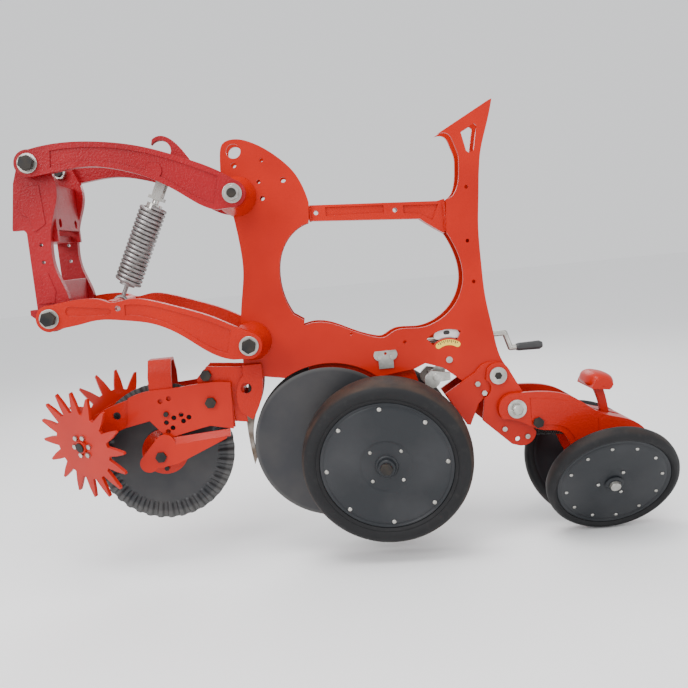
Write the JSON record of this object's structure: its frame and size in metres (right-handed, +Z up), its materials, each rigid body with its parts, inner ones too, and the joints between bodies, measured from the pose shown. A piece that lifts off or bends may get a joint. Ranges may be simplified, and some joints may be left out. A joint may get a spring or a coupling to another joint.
{
  "type": "planter row unit",
  "caption": "Corn planter row unit: toolbar bracket, sprung parallel arms, shank, opener discs, gauge wheels, coulter with row cleaner and closing wheels.",
  "frame": {"origin": "centre of the flat seat that rests against the rear face of the planter's square toolbar", "axes": "+X to the rear of the machine, +Z up, the left side is -Y"},
  "size_m": [1.5266, 0.3906, 1.0741],
  "materials": {
    "red_paint": "gloss",
    "black_oxide": "satin",
    "zinc": "satin",
    "disc_steel": "satin",
    "spring_steel": "satin",
    "worn_steel": "matte",
    "tyre_rubber": "matte",
    "wheel_grey": "matte",
    "black_plastic": "satin"
  },
  "bodies": {
    "head_bracket": {"head_side_left": "red_paint", "head_side_right": "red_paint", "head_web_upper": "red_paint", "head_web_lower": "red_paint", "head_pivot_bolts": "black_oxide", "head_pivot_nuts_washers": "zinc"},
    "upper_arms": {"upper_arm_left": "red_paint", "upper_arm_right": "red_paint", "spring_top_pin": "zinc"},
    "lower_arms": {"lower_arm_left": "red_paint", "lower_arm_right": "red_paint", "lower_arm_crossbar": "red_paint"},
    "spring_lower": {"spring_coil": "spring_steel", "spring_lower_hook": "spring_steel"},
    "spring_upper": {"spring_clevis": "zinc", "spring_plug": "zinc"},
    "shank": {"shank_plate_left": "red_paint", "shank_plate_right": "red_paint", "shank_crossbar": "red_paint", "shank_edge_strips": "red_paint", "shank_pivot_tubes": "red_paint", "shank_pivot_bolts": "black_oxide", "disc_carrier": "red_paint", "carrier_shafts": "worn_steel", "shin_guard": "worn_steel", "tag_plate": "zinc", "coulter_mount": "red_paint", "cleaner_plates": "red_paint", "coulter_arms": "red_paint", "coulter_axle": "black_oxide", "cleaner_bolts": "black_oxide", "tail_plates": "red_paint", "tail_bolts": "zinc"},
    "opener_left": {"opener_disc_left": "disc_steel"},
    "opener_right": {"opener_disc_right": "disc_steel"},
    "gauge_arm_body_left": {"gauge_arm_left": "red_paint"},
    "gauge_arm_body_right": {"gauge_arm_right": "red_paint"},
    "gauge_wheel_left": {"gauge_tyre_left": "tyre_rubber", "gauge_rim_left": "wheel_grey"},
    "gauge_wheel_right": {"gauge_tyre_right": "tyre_rubber", "gauge_rim_right": "wheel_grey"},
    "crank": {"crank_rod": "zinc", "crank_grip": "black_plastic"},
    "depth_nut_body": {"depth_nut": "zinc"},
    "depth_lever_body": {"depth_lever": "zinc", "depth_rocker": "zinc"},
    "coulter": {"coulter_disc": "disc_steel"},
    "cleaner": {"cleaner_frame": "red_paint", "cleaner_axles": "black_oxide"},
    "spiked_left": {"spiked_wheel_left": "red_paint"},
    "spiked_right": {"spiked_wheel_right": "red_paint"},
    "closing_frame": {"closing_arm": "red_paint", "closing_spindles": "zinc", "closing_arm_bolts": "black_oxide", "closing_spring": "spring_steel"},
    "closing_lever_body": {"closing_lever": "red_paint"},
    "closing_wheel_left": {"closing_tyre_left": "tyre_rubber", "closing_rim_left": "wheel_grey"},
    "closing_wheel_right": {"closing_tyre_right": "tyre_rubber", "closing_rim_right": "wheel_grey"}
  },
  "joints": [
    {"name": "linkage_lift", "type": "hinge", "parent": "head_bracket", "child": "upper_arms", "pos_m": [0.031, 0, 0.232], "axis": [0, -1, 0], "range_deg": [0, 14]},
    {"name": "lower_lift", "type": "hinge", "parent": "head_bracket", "child": "lower_arms", "pos_m": [0.031, 0, -0.112], "axis": [0, -1, 0], "range_deg": [0, 14]},
    {"name": "shank_level", "type": "hinge", "parent": "upper_arms", "child": "shank", "pos_m": [0.46857, 0, 0.12695], "axis": [0, -1, 0], "range_deg": [-14, 0]},
    {"name": "spring_swing", "type": "hinge", "parent": "lower_arms", "child": "spring_lower", "pos_m": [0.16111, 0, -0.09696], "axis": [0, -1, 0], "range_deg": [-13.1, 0]},
    {"name": "spring_stretch", "type": "slide", "parent": "spring_lower", "child": "spring_upper", "axis": [0.4387, 0, 0.8987], "range_m": [0, 0.0372], "deforming": ["spring_coil"]},
    {"name": "opener_spin_left", "type": "hinge", "parent": "shank", "child": "opener_left", "pos_m": [0.63597, -0.027, -0.48705], "axis": [0.0955, 0.9915, 0.0885], "continuous": true},
    {"name": "opener_spin_right", "type": "hinge", "parent": "shank", "child": "opener_right", "pos_m": [0.63597, 0.027, -0.48705], "axis": [-0.0955, 0.9915, -0.0885], "continuous": true},
    {"name": "gauge_lift_left", "type": "hinge", "parent": "shank", "child": "gauge_arm_body_left", "pos_m": [0.84728, -0.12473, -0.45356], "axis": [0.148, 0.9784, 0.1445], "range_deg": [0, 40]},
    {"name": "gauge_lift_right", "type": "hinge", "parent": "shank", "child": "gauge_arm_body_right", "pos_m": [0.84728, 0.12473, -0.45356], "axis": [-0.148, 0.9784, -0.1445], "range_deg": [0, 40]},
    {"name": "gauge_spin_left", "type": "hinge", "parent": "gauge_arm_body_left", "child": "gauge_wheel_left", "pos_m": [0.75597, -0.15, -0.52805], "axis": [0.148, 0.9784, 0.1445], "continuous": true},
    {"name": "gauge_spin_right", "type": "hinge", "parent": "gauge_arm_body_right", "child": "gauge_wheel_right", "pos_m": [0.75597, 0.15, -0.52805], "axis": [-0.148, 0.9784, -0.1445], "continuous": true},
    {"name": "crank_turn", "type": "hinge", "parent": "shank", "child": "crank", "pos_m": [1.03857, 0, -0.26305], "axis": [1, 0, 0], "range_deg": [-1080, 1080]},
    {"name": "depth_nut_slide", "type": "slide", "parent": "shank", "child": "depth_nut_body", "axis": [1, 0, 0], "range_m": [-0.0151, 0.0151]},
    {"name": "depth_lever_tilt", "type": "hinge", "parent": "shank", "child": "depth_lever_body", "pos_m": [0.93997, 0, -0.31105], "axis": [0, 1, 0], "range_deg": [-18, 18]},
    {"name": "coulter_spin", "type": "hinge", "parent": "shank", "child": "coulter", "pos_m": [0.22397, 0, -0.47205], "axis": [0, 1, 0], "continuous": true},
    {"name": "cleaner_tilt", "type": "hinge", "parent": "shank", "child": "cleaner", "pos_m": [0.35497, 0, -0.35405], "axis": [0, 1, 0], "range_deg": [-6, 6]},
    {"name": "spiked_spin_left", "type": "hinge", "parent": "cleaner", "child": "spiked_left", "pos_m": [0.04897, -0.085, -0.42105], "axis": [0.5554, 0.8112, 0.1828], "continuous": true},
    {"name": "spiked_spin_right", "type": "hinge", "parent": "cleaner", "child": "spiked_right", "pos_m": [0.10097, 0.085, -0.40605], "axis": [-0.5554, 0.8112, -0.1828], "continuous": true},
    {"name": "closing_lift", "type": "hinge", "parent": "shank", "child": "closing_frame", "pos_m": [1.08997, 0, -0.44305], "axis": [0, -1, 0], "range_deg": [0, 25], "deforming": ["closing_spring"]},
    {"name": "closing_lever_tilt", "type": "hinge", "parent": "closing_frame", "child": "closing_lever_body", "pos_m": [1.32197, 0, -0.53505], "axis": [0, 1, 0], "range_deg": [-12, 12]},
    {"name": "closing_spin_left", "type": "hinge", "parent": "closing_frame", "child": "closing_wheel_left", "pos_m": [1.30097, -0.11, -0.63805], "axis": [0.0274, 0.8726, 0.4877], "continuous": true},
    {"name": "closing_spin_right", "type": "hinge", "parent": "closing_frame", "child": "closing_wheel_right", "pos_m": [1.30097, 0.11, -0.63805], "axis": [-0.0274, 0.8726, -0.4877], "continuous": true}
  ],
  "couplings": [
    {"joint": "lower_lift", "follows": "linkage_lift", "ratio": 1},
    {"joint": "shank_level", "follows": "linkage_lift", "ratio": -1},
    {"joint": "spring_swing", "follows": "linkage_lift", "ratio": -0.91439},
    {"joint": "spring_stretch", "follows": "linkage_lift", "m_per_rad": 0.14822},
    {"joint": "depth_nut_slide", "follows": "crank_turn", "m_per_rad": 0.0007958},
    {"joint": "depth_lever_tilt", "follows": "crank_turn", "ratio": 0.016069}
  ]
}
